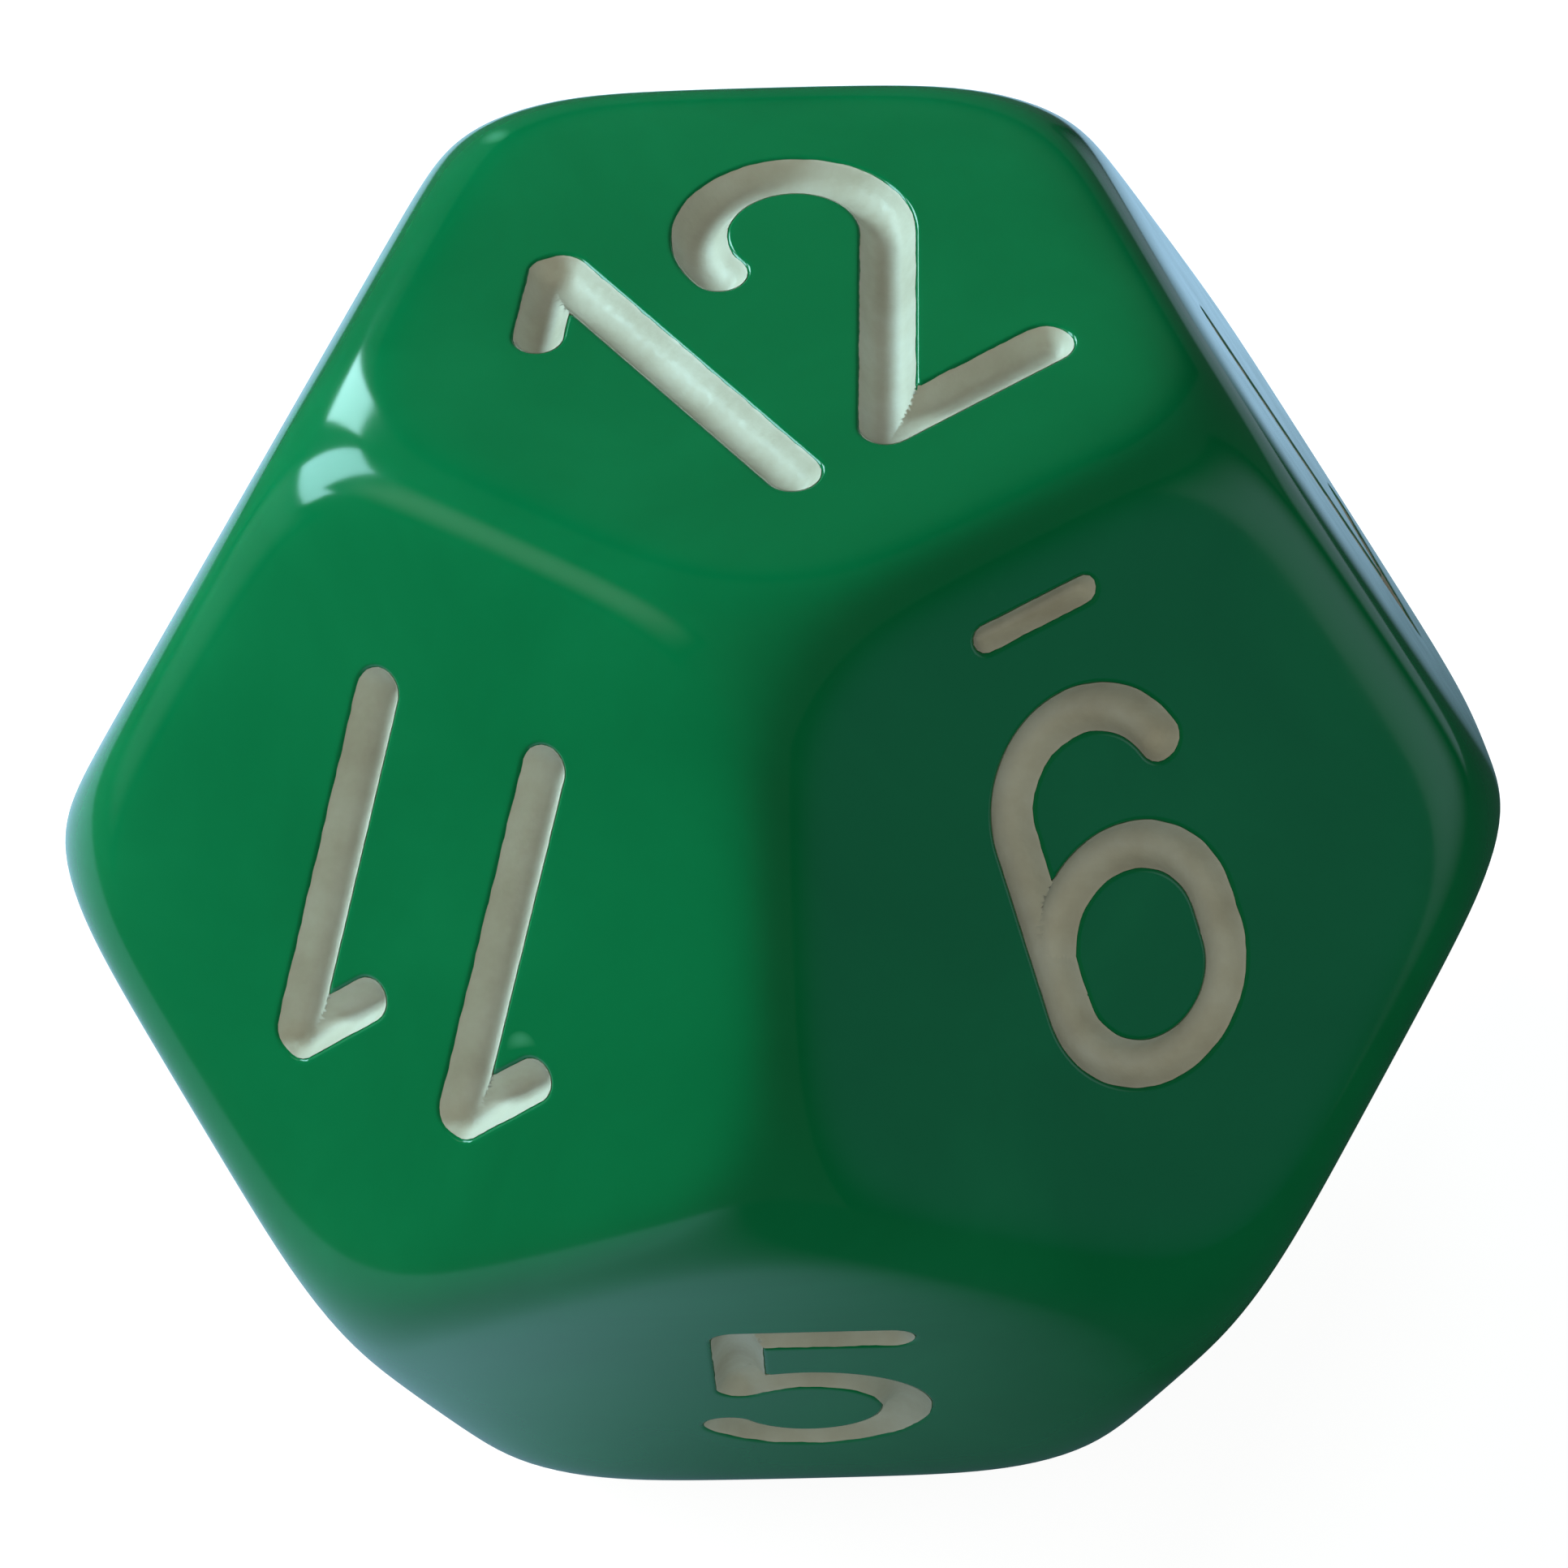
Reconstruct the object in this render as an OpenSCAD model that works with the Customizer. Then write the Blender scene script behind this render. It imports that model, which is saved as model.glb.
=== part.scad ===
// Twelve-sided playing die: a solid moulded regular dodecahedron with rounded
// edges and engraved numerals 1 to 12, each groove lined with paint.
// It rests on face 1 with face 12 up. The origin is under its middle, on the table.

/* [Body] */
// Distance between opposite flat faces
across_flats = 18.5; // [17.5:0.5:24]
// How far the tumbled edges are softened
edge_soft = 0.33; // [0.25:0.01:0.4]
// Reach of the ball that wears the corners down, against half of across_flats
corner_reach = 1.2; // [1.18:0.005:1.22]
// How far the worn corners are softened
corner_soft = 0.13; // [0.1:0.01:0.2]
// Facets from the middle of a rounded edge to a flat face
edge_steps = 5; // [4:1:6]

/* [Numerals] */
// Height of a numeral between the middles of its top and bottom strokes
numeral_h = 5.4; // [4:0.1:5.6]
// Width of a stroke of the 12 at the face, where strokes are widest
stroke_w = 0.84; // [0.6:0.02:0.9]
// Width of the short flag of a 1
flag_w = 0.76; // [0.4:0.02:0.8]
// Width of the bar under 6 and 9
bar_w = 0.44; // [0.3:0.02:0.5]
// Depth of the engraving below the face
groove_depth = 0.42; // [0.3:0.02:0.6]
// How far the paint lies below the face
paint_recess = 0.12; // [0.04:0.02:0.2]

/* [Hidden] */
$fn = 48;

inradius = across_flats / 2;
// Angle between the normals of two neighbouring faces
ring_tilt = atan(2);
// Dot product of two neighbouring normals
ring_cos = cos(ring_tilt);

// Each face is [number, tilt of its normal from +Z, azimuth, turn of the numeral's top].
// The numbers on opposite faces add up to 13.
upper_numbers = [11, 9, 7, 8, 10];
lower_numbers = [5, 3, 2, 4, 6];
FACES = concat(
    [[12, 0, 0, 126]],
    [for (i = [0:4]) [upper_numbers[i], ring_tilt, 72 * i - 126, 0]],
    [for (i = [0:4]) [lower_numbers[i], 180 - ring_tilt, 72 * i - 90, 180]],
    [[1, 180, 0, 234]]
);

// Each numeral is [number, x of its middle, y of its middle, size against numeral_h,
// stroke width against stroke_w]
NUMERALS = [
    [1, 0, -0.1, 1, 0.92], [2, 0, -0.1, 1, 0.92], [3, 0, -0.1, 1, 0.92], [4, 0, -0.1, 1, 0.92],
    [5, 0.26, -0.25, 0.9, 0.92], [6, 0, -0.04, 0.985, 0.86], [7, 0, -0.1, 1, 0.92],
    [8, 0, -0.1, 1, 0.92], [9, 0, -0.04, 0.985, 0.86], [10, 0, -0.15, 1.02, 0.96],
    [11, 0.185, 0.02, 0.975, 0.9], [12, -0.15, -0.26, 1.045, 1]
];
// Half the height in which the digits are drawn
half_h = 2.7;
// Dots are a hair wider than their strokes, so that the outlines cross and never just touch
dot_size = 1.004;
// Sideways shift of each digit of a two-digit numeral
pair_shift = [-1.5, 1.5];
// Where the bar of 6 and 9 lies, and half its length
bar_y = -4.25;
bar_half = 0.86;

// ---- geometry of the rounded body ----

function unit(v) = v / norm(v);
function face_normal(f) = [sin(f[1]) * cos(f[2]), sin(f[1]) * sin(f[2]), cos(f[1])];
function neighbours(a, b) = a * b > 0.9 * ring_cos;

NORMALS = [for (f = FACES) face_normal(f)];
// Every corner joins three neighbouring faces
CORNERS = [
    for (i = [0:9], j = [i + 1:10], k = [j + 1:11])
        if (neighbours(NORMALS[i], NORMALS[j]) && neighbours(NORMALS[j], NORMALS[k])
            && neighbours(NORMALS[i], NORMALS[k]))
            [NORMALS[i], NORMALS[j], NORMALS[k]]
];

// The body is where a softened maximum of its distances beyond the twelve faces and beyond
// the corner ball is zero. It starts flat_trim outside the flat faces, which cut it cleanly.
flat_trim = 0.02;
ball_radius = corner_reach * inradius;
function total(v, i = 0) = i < len(v) ? v[i] + total(v, i + 1) : 0;
// Distance of the body's skin from its middle in direction d, by Newton's method from r
function skin_reach(d, r, rounds = 9) =
    rounds == 0 ? r :
    let (
        parts = [for (n = NORMALS) exp((r * (d * n) - inradius - flat_trim) / edge_soft)],
        leans = [for (i = [0:len(NORMALS) - 1]) parts[i] * (d * NORMALS[i])],
        ball = exp((r - ball_radius) / corner_soft),
        sum = total(parts) + ball,
        slope = total(leans) / edge_soft + ball / corner_soft
    )
    skin_reach(d, r - ln(sum) * sum / slope, rounds - 1);

// Lines beside an edge run from a corner to the middle of the edge in along_steps
along_steps = 4;
// How far the rounding reaches from an edge towards a face, as a share of the face's normal
edge_reach = 0.2 * sqrt(edge_soft / 0.33);
// Directions from a corner to the middle of the edge of faces a and b, on the side of face a
function beside_edge(a, b, corner) = [
    for (j = [0:along_steps], i = [0:edge_steps])
        let (along = unit(corner + (unit(a + b) - corner) * j / along_steps))
            unit(along + a * edge_reach * pow(i / edge_steps, 1.4))
];
BODY_POINTS = [
    for (c = CORNERS, k = [0:2], side = [0, 1])
        let (a = c[(k + side) % 3], b = c[(k + 1 - side) % 3])
            for (d = beside_edge(a, b, unit(c[0] + c[1] + c[2])))
                d * skin_reach(d, 1.1 * inradius)
];

// ---- placing things on the faces ----

function face_of(number) = [for (f = FACES) if (f[0] == number) f][0];
function numeral_of(number) = [for (n = NUMERALS) if (n[0] == number) n][0];

// Moves children from the XY plane to a face, with +Y at the numeral's top
module on_face(number) {
    f = face_of(number);
    translate([0, 0, inradius])
        rotate([0, f[1], f[2]])
            rotate(f[3] - 90)
                translate([0, 0, inradius])
                    children();
}

module above_face(number) {
    side = 2 * across_flats;
    on_face(number)
        translate([-side / 2, -side / 2, 0])
            cube([side, side, across_flats]);
}

// ---- strokes, in the units of half_h ----

module straight(from, to, w) {
    span = to - from;
    translate(from)
        rotate(atan2(span.y, span.x))
            translate([0, -w / 2])
                square([norm(span), w]);
}

// Arc stroke from angle a0 anticlockwise to a1
module bowl(centre, r, a0, a1, w) {
    translate(centre)
        intersection() {
            ring(r, w);
            wedge(a0, a1, 2 * r + w);
        }
}

module ring(r, w) {
    difference() {
        circle(r = r + w / 2);
        circle(r = r - w / 2);
    }
}

module wedge(a0, a1, reach) {
    steps = ceil((a1 - a0) / 60);
    polygon(concat(
        [[0, 0]],
        [for (i = [0:steps]) reach * [cos(a0 + (a1 - a0) * i / steps), sin(a0 + (a1 - a0) * i / steps)]]
    ));
}

// Round stroke ends, and the round joints between two strokes
module dots(points, w) {
    for (p = points)
        translate(p)
            circle(d = dot_size * w);
}

// Point of a circle at angle a
function rim(centre, r, a) = centre + r * [cos(a), sin(a)];
// Angle on a circle at which a line from point q touches its right side
function touch_angle(centre, r, q) =
    let (d = q - centre)
    atan2(d.y, d.x) + acos(r / norm(d));

// ---- digits: each is drawn between y = -half_h and half_h, and w is the stroke width ----

module digit_0(w) {
    r = 1.3;
    y = half_h - r;
    bowl([0, y], r, 0, 180, w);
    bowl([0, -y], r, 180, 360, w);
    for (x = [-r, r])
        straight([x, -y], [x, y], w);
    dots([[-r, -y], [-r, y], [r, -y], [r, y]], w);
}

module digit_1(w) {
    flag = w * flag_w / stroke_w;
    tip = [-1.04, 1.75];
    straight([0, half_h], [0, -half_h], w);
    dots([[0, half_h], [0, -half_h]], w);
    straight([-0.075, half_h + 0.066], tip, flag);
    dots([tip], flag);
}

module digit_2(w) {
    r = 1.3;
    top = [0, half_h - r];
    heel = [-1.44, -half_h];
    toe = [1.27, -half_h + 0.05];
    start = 183;
    a = touch_angle(top, r, heel);
    bowl(top, r, a, start, w);
    straight(rim(top, r, a), heel, w);
    straight(heel, toe, w);
    dots([rim(top, r, start), rim(top, r, a), heel, toe], w);
}

module digit_3(w) {
    upper_r = 1.27;
    lower_r = half_h - upper_r + 0.03;
    upper = [0, half_h - upper_r];
    lower = [0, lower_r - half_h];
    bowl(upper, upper_r, -90, 155, w);
    bowl(lower, lower_r, -160, 90, w);
    dots([rim(upper, upper_r, 155), rim(upper, upper_r, -90)], w);
    dots([rim(lower, lower_r, 90), rim(lower, lower_r, -160)], w);
}

module digit_4(w) {
    top = [0.55, half_h];
    left = [-1.45, -1.2];
    right = [1.4, -1.2];
    foot = [0.55, -half_h];
    straight(top, left, w);
    straight(left, right, w);
    straight(top, foot, w);
    dots([top, left, right, foot], w);
}

module digit_5(w) {
    r = 1.6;
    middle = [-0.08, r - half_h];
    start = rim(middle, r, 132);
    tail = rim(middle, r, -148);
    corner = [start.x, half_h];
    end = [1.3, half_h];
    straight(corner, end, w);
    straight(corner, start, w);
    bowl(middle, r, -148, 132, w);
    dots([corner, end, start, tail], w);
}

module digit_6(w) {
    rotate(180)
        digit_9(w);
}

module digit_7(w) {
    left = [-1.35, half_h];
    corner = [1.35, half_h];
    foot = [-0.45, -half_h];
    straight(left, corner, w);
    straight(corner, foot, w);
    dots([left, corner, foot], w);
}

module digit_8(w) {
    upper_r = 1.23;
    lower_r = half_h - upper_r + 0.03;
    translate([0, half_h - upper_r])
        ring(upper_r, w);
    translate([0, lower_r - half_h])
        ring(lower_r, w);
}

module digit_9(w) {
    r = 1.375;
    top = half_h - r;
    low = 0.845;
    tail = -162;
    bowl([0, top], r, 0, 180, w);
    bowl([0, low], r, 180, 345, w);
    straight([-r, low], [-r, top], w);
    straight([r, -top], [r, top], w);
    bowl([0, -top], r, tail, 0, w);
    dots([[-r, low], [-r, top], [r, top], [r, -top], rim([0, -top], r, tail)], w);
}

module digit(d, w) {
    if (d == 0) digit_0(w);
    if (d == 1) digit_1(w);
    if (d == 2) digit_2(w);
    if (d == 3) digit_3(w);
    if (d == 4) digit_4(w);
    if (d == 5) digit_5(w);
    if (d == 6) digit_6(w);
    if (d == 7) digit_7(w);
    if (d == 8) digit_8(w);
    if (d == 9) digit_9(w);
}

// One digit of a numeral, in millimetres: place 0 or 1 of a pair, or -1 where it stands alone
module numeral_digit(number, place) {
    n = numeral_of(number);
    k = n[3] * numeral_h / (2 * half_h);
    d = place < 0 ? number : (place == 0 ? floor(number / 10) : number % 10);
    x = place < 0 ? 0 : pair_shift[place];
    translate([n[1] + k * x, n[2]])
        scale(k)
            digit(d, n[4] * stroke_w / k);
}

module numeral_bar(number) {
    x = numeral_of(number)[1];
    k = numeral_h / (2 * half_h);
    ends = [[x - k * bar_half, k * bar_y], [x + k * bar_half, k * bar_y]];
    straight(ends[0], ends[1], bar_w);
    dots(ends, bar_w);
}

// A groove is cut from above its face, and its paint stops short of the face
module groove(number) {
    on_face(number)
        translate([0, 0, -groove_depth])
            linear_extrude(2 * groove_depth)
                children();
}

module paint(number) {
    color([0.80, 0.90, 0.84])
        on_face(number)
            translate([0, 0, -groove_depth])
                linear_extrude(groove_depth - paint_recess)
                    children();
}

// ---- sub-parts ----

module moulded_body() {
    color([0.05, 0.42, 0.26])
        difference() {
            translate([0, 0, inradius])
                hull()
                    polyhedron(BODY_POINTS, [[for (i = [0:len(BODY_POINTS) - 1]) i]]);
            for (number = [1:12])
                above_face(number);
            for (number = [1:9])
                groove(number)
                    numeral_digit(number, -1);
            for (number = [6, 9])
                groove(number)
                    numeral_bar(number);
            for (number = [10:12], place = [0, 1])
                groove(number)
                    numeral_digit(number, place);
        }
}

module paint_1() { paint(1) numeral_digit(1, -1); }
module paint_2() { paint(2) numeral_digit(2, -1); }
module paint_3() { paint(3) numeral_digit(3, -1); }
module paint_4() { paint(4) numeral_digit(4, -1); }
module paint_5() { paint(5) numeral_digit(5, -1); }
module paint_6() { paint(6) numeral_digit(6, -1); }
module paint_6_bar() { paint(6) numeral_bar(6); }
module paint_7() { paint(7) numeral_digit(7, -1); }
module paint_8() { paint(8) numeral_digit(8, -1); }
module paint_9() { paint(9) numeral_digit(9, -1); }
module paint_9_bar() { paint(9) numeral_bar(9); }
module paint_10_one() { paint(10) numeral_digit(10, 0); }
module paint_10_zero() { paint(10) numeral_digit(10, 1); }
module paint_11_first() { paint(11) numeral_digit(11, 0); }
module paint_11_second() { paint(11) numeral_digit(11, 1); }
module paint_12_one() { paint(12) numeral_digit(12, 0); }
module paint_12_two() { paint(12) numeral_digit(12, 1); }

moulded_body();
paint_1();
paint_2();
paint_3();
paint_4();
paint_5();
paint_6();
paint_6_bar();
paint_7();
paint_8();
paint_9();
paint_9_bar();
paint_10_one();
paint_10_zero();
paint_11_first();
paint_11_second();
paint_12_one();
paint_12_two();
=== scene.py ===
import math

import bpy
import numpy as np
from mathutils import Matrix, Vector
from mathutils.geometry import delaunay_2d_cdt


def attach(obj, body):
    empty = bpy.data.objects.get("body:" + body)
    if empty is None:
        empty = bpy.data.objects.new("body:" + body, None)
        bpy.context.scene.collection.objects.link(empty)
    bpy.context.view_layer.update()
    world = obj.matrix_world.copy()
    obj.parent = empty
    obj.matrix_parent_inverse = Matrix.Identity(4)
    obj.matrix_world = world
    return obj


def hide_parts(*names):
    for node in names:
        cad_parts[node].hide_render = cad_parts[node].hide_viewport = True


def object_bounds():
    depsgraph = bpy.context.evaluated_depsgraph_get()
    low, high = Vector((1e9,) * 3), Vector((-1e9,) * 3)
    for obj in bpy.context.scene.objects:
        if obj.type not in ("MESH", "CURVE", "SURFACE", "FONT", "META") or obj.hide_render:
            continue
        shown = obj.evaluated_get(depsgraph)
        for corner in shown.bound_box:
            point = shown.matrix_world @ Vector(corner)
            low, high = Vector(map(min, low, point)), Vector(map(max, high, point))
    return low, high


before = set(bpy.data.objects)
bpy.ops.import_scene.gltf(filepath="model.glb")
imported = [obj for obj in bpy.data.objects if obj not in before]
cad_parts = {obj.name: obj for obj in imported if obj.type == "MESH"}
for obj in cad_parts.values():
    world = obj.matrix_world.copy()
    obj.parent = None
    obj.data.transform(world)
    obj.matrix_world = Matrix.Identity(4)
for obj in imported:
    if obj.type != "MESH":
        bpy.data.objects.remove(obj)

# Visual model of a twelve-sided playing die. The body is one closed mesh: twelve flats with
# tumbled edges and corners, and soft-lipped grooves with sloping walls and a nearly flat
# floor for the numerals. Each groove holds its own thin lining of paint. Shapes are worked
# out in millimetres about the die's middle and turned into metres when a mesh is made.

cad_low, cad_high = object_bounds()

# ---- sizes, in millimetres ----

MM = 0.001
CENTRE = (cad_low + cad_high) / 2
INRADIUS = (cad_high.z - cad_low.z) / 2 / MM
# How far the tumbled edges and corners are softened, and the reach of the ball that wears
# the corners down
EDGE_SOFT = 0.33
CORNER_SOFT = 0.13
CORNER_REACH = 1.2 * INRADIUS

# Angle between the normals of two neighbouring faces, and half the turn from corner to corner
RING_TILT = math.atan(2)
HALF_TILT = RING_TILT / 2
CORNER_TURN = math.radians(36)

# Widths of a stroke, of the flag of a 1 and of the bar, and half the height of a digit
STROKE_W = 0.84
FLAG_W = 0.76
BAR_W = 0.44
HALF_H = 2.7
# A groove has sloping walls with a soft lip; the larger FOOT is, the sharper the wall meets
# the floor. The paint lies a little higher and sinks a little into the body.
WALL_SLOPE = 1.75
FOOT = 3.0
GROOVE_DEEP = 0.42
PAINT_DEEP = 0.36
PAINT_THICK = 0.014
LIP_SOFTNESS = 0.016
VALLEY_ROUND = 0.04
PAINT_ROUND = 0.05
PAINT_EDGE = 0.018
PAINT_RAGGED = 0.008
PAINT_SINK = 0.012

# Contours that carry the groove's shape, by how far inside the stroke they lie
GROOVE_LEVELS = (-0.09, -0.05, -0.026, -0.008, 0.01, 0.032, 0.06, 0.1, 0.15, 0.22)
PAINT_LEVELS = (0.045, 0.075, 0.105, 0.14, 0.19, 0.26)
# How far from a face's middle the contours are looked for, and the steps of the meshing
FIELD_REACH = 5.2
CONTOUR_STEP = 0.1
GRID_STEP = 0.06
CREASE_STEP = 0.03
SLOPE_STEP = 0.004
# Points no further apart than this are made one
MERGE_WITHIN = 0.002

# Each face has a rim inside which the numerals are cut; the rounding lies outside it
RIM_SIDE = 4.7
RIM_CORNER = 5.3
RIM_INSETS = (0.15, 0.32, 0.52, 0.78, 1.1, 1.6, 2.3, 3.1)
COLUMNS = 32
RINGS = 13

# ---- which number is where ----

UPPER_NUMBERS = (11, 9, 7, 8, 10)
LOWER_NUMBERS = (5, 3, 2, 4, 6)
# Number: tilt of its face from +Z, azimuth, turn of the numeral's top, all in degrees
FACES = {12: (0, 0, 126), 1: (180, 0, 234)}
FACES.update({n: (math.degrees(RING_TILT), 72 * i - 126, 0) for i, n in enumerate(UPPER_NUMBERS)})
FACES.update({n: (180 - math.degrees(RING_TILT), 72 * i - 90, 180) for i, n in enumerate(LOWER_NUMBERS)})

# Number: x and y of the numeral's middle, its size, and its strokes' width against the usual
NUMERALS = {n: (0, -0.1, 1, 0.92) for n in (1, 2, 3, 4, 7, 8)}
NUMERALS.update({
    5: (0.26, -0.25, 0.9, 0.92), 6: (0, -0.04, 0.985, 0.86), 9: (0, -0.04, 0.985, 0.86),
    10: (0, -0.15, 1.02, 0.96), 11: (0.185, 0.02, 0.975, 0.9), 12: (-0.15, -0.26, 1.045, 1),
})
PAIR_SHIFT = (-1.5, 1.5)
BAR_Y = -4.25
BAR_HALF = 0.86


# ---- faces ----

def face_axes(number):
    """The face's outward normal, and the right and up of its numeral."""
    tilt, azimuth, turn = (math.radians(a) for a in FACES[number])
    lean = math.cos(tilt)
    across = np.array([lean * math.cos(azimuth), lean * math.sin(azimuth), -math.sin(tilt)])
    along = np.array([-math.sin(azimuth), math.cos(azimuth), 0])
    normal = np.cross(across, along)
    a = turn - math.pi / 2
    right = math.cos(a) * across + math.sin(a) * along
    up = -math.sin(a) * across + math.cos(a) * along
    return normal, right, up


AXES = {n: face_axes(n) for n in FACES}


def on_face(number, xy, height):
    """Points of a face's own plane, in millimetres about the die's middle."""
    normal, right, up = AXES[number]
    return (INRADIUS + height)[:, None] * normal + xy[:, :1] * right + xy[:, 1:] * up


# ---- strokes of the numerals ----

def line(start, end, width=STROKE_W):
    return "line", np.array(start, float), np.array(end, float), width


def arc(centre, radius, a0, a1, width=STROKE_W):
    return "arc", np.array(centre, float), (radius, math.radians(a0), math.radians(a1)), width


def rim(centre, radius, degrees):
    a = math.radians(degrees)
    return centre[0] + radius * math.cos(a), centre[1] + radius * math.sin(a)


def digit_0():
    r = 1.3
    y = HALF_H - r
    bowls = [arc((0, y), r, 0, 180), arc((0, -y), r, 180, 360)]
    return bowls + [line((x, -y), (x, y)) for x in (-r, r)]


def digit_1():
    return [line((0, HALF_H), (0, -HALF_H)), line((-0.075, HALF_H + 0.066), (-1.04, 1.75), FLAG_W)]


def digit_2():
    r = 1.3
    top = (0, HALF_H - r)
    heel = (-1.44, -HALF_H)
    reach = math.hypot(heel[0] - top[0], heel[1] - top[1])
    touch = math.degrees(math.atan2(heel[1] - top[1], heel[0] - top[0]) + math.acos(r / reach))
    return [arc(top, r, touch, 183), line(rim(top, r, touch), heel), line(heel, (1.27, 0.05 - HALF_H))]


def digit_3():
    upper_r = 1.27
    lower_r = HALF_H - upper_r + 0.03
    return [arc((0, HALF_H - upper_r), upper_r, -90, 155), arc((0, lower_r - HALF_H), lower_r, -160, 90)]


def digit_4():
    top, left, right, foot = (0.55, HALF_H), (-1.45, -1.2), (1.4, -1.2), (0.55, -HALF_H)
    return [line(top, left), line(left, right), line(top, foot)]


def digit_5():
    r = 1.6
    middle = (-0.08, r - HALF_H)
    start = rim(middle, r, 132)
    corner = (start[0], HALF_H)
    return [line(corner, (1.3, HALF_H)), line(corner, start), arc(middle, r, -148, 132)]


def digit_6():
    return [half_turned(s) for s in digit_9()]


def digit_7():
    corner = (1.35, HALF_H)
    return [line((-1.35, HALF_H), corner), line(corner, (-0.45, -HALF_H))]


def digit_8():
    upper_r = 1.23
    lower_r = HALF_H - upper_r + 0.03
    return [arc((0, HALF_H - upper_r), upper_r, 0, 360), arc((0, lower_r - HALF_H), lower_r, 0, 360)]


def digit_9():
    r = 1.375
    top = HALF_H - r
    low = 0.845
    return [
        arc((0, top), r, 0, 180), arc((0, low), r, 180, 345), line((-r, low), (-r, top)),
        line((r, -top), (r, top)), arc((0, -top), r, -162, 0),
    ]


DIGITS = (digit_0, digit_1, digit_2, digit_3, digit_4, digit_5, digit_6, digit_7, digit_8, digit_9)


def half_turned(stroke):
    kind, a, b, width = stroke
    if kind == "line":
        return kind, -a, -b, width
    radius, a0, a1 = b
    return kind, -a, (radius, a0 + math.pi, a1 + math.pi), width


def placed(strokes, size, dx, dy, wide):
    """Strokes at their real size and place on a face; their widths don't follow the size."""
    shift = np.array([dx, dy])
    out = []
    for kind, a, b, width in strokes:
        far = size * b + shift if kind == "line" else (size * b[0], b[1], b[2])
        out.append((kind, size * a + shift, far, wide * width))
    return out


def numeral_strokes(number, place=None):
    """One digit of a numeral: place 0 or 1 of a pair, or None where it stands alone."""
    x, y, size, wide = NUMERALS[number]
    if place is None:
        return placed(DIGITS[number](), size, x, y, wide)
    digit = (number // 10, number % 10)[place]
    return placed(DIGITS[digit](), size, x + size * PAIR_SHIFT[place], y, wide)


def bar_strokes(number):
    x = NUMERALS[number][0]
    return [line((x - BAR_HALF, BAR_Y), (x + BAR_HALF, BAR_Y), BAR_W)]


PAINTS = {f"paint_{n}": (n, numeral_strokes(n)) for n in range(1, 10)}
PAINTS.update({f"paint_{n}_bar": (n, bar_strokes(n)) for n in (6, 9)})
PAINTS.update({
    "paint_10_one": (10, numeral_strokes(10, 0)), "paint_10_zero": (10, numeral_strokes(10, 1)),
    "paint_11_first": (11, numeral_strokes(11, 0)), "paint_11_second": (11, numeral_strokes(11, 1)),
    "paint_12_one": (12, numeral_strokes(12, 0)), "paint_12_two": (12, numeral_strokes(12, 1)),
})
CUTS = {n: [s for number, strokes in PAINTS.values() if number == n for s in strokes] for n in FACES}


# ---- fields: how deep inside a stroke a point lies ----

def off_line(stroke, xy):
    """Distance of each point from a stroke's middle line."""
    kind, a, b, _ = stroke
    d = xy - a
    if kind == "line":
        span = b - a
        t = np.clip(d @ span / (span @ span), 0, 1)
        return np.hypot(*(d - t[:, None] * span).T)
    radius, a0, a1 = b
    turn = np.mod(np.arctan2(d[:, 1], d[:, 0]) - a0, 2 * math.pi)
    ends = [np.hypot(*(d - radius * np.array([math.cos(e), math.sin(e)])).T) for e in (a0, a1)]
    return np.where(turn <= a1 - a0, abs(np.hypot(*d.T) - radius), np.minimum(*ends))


def inside(strokes, xy, roundness):
    return np.max([s[3] / 2 - np.hypot(off_line(s, xy), roundness) for s in strokes], axis=0)


def soft_depth(reach, deepest):
    """Depth below the face: a sloping wall with a soft lip and a rounded foot."""
    wall = WALL_SLOPE * LIP_SOFTNESS * np.logaddexp(0, reach / LIP_SOFTNESS)
    return wall * deepest / (wall ** FOOT + deepest ** FOOT) ** (1 / FOOT)


def groove_height(strokes, xy):
    reach = inside(strokes, xy, VALLEY_ROUND)
    return np.where(reach < GROOVE_LEVELS[0] + 1e-4, 0, -soft_depth(reach, GROOVE_DEEP))


def ragged(xy, phase):
    """Small waves that keep the paint's edge and surface from being perfect."""
    x, y = xy.T
    waves = np.sin(9.1 * x + 4.3 * y + phase) + np.sin(11.9 * y - 6.7 * x + 1.7 * phase)
    return (waves + 0.7 * np.sin(27 * x + 19 * y + 2.3 * phase)) / 2.7


def paint_height(strokes, xy, phase):
    reach = inside(strokes, xy, PAINT_ROUND)
    return -soft_depth(reach - PAINT_THICK, PAINT_DEEP) + 0.35 * PAINT_RAGGED * ragged(2.1 * xy, phase)


def slopes_to_normals(height, xy):
    """Unit normals, in face coordinates, of a surface given by its height."""
    dx, dy = np.array([SLOPE_STEP, 0]), np.array([0, SLOPE_STEP])
    hx = (height(xy + dx) - height(xy - dx)) / (2 * SLOPE_STEP)
    hy = (height(xy + dy) - height(xy - dy)) / (2 * SLOPE_STEP)
    n = np.stack([-hx, -hy, np.ones(len(xy))], axis=1)
    return n / np.linalg.norm(n, axis=1)[:, None]


# ---- contours ----

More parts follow.
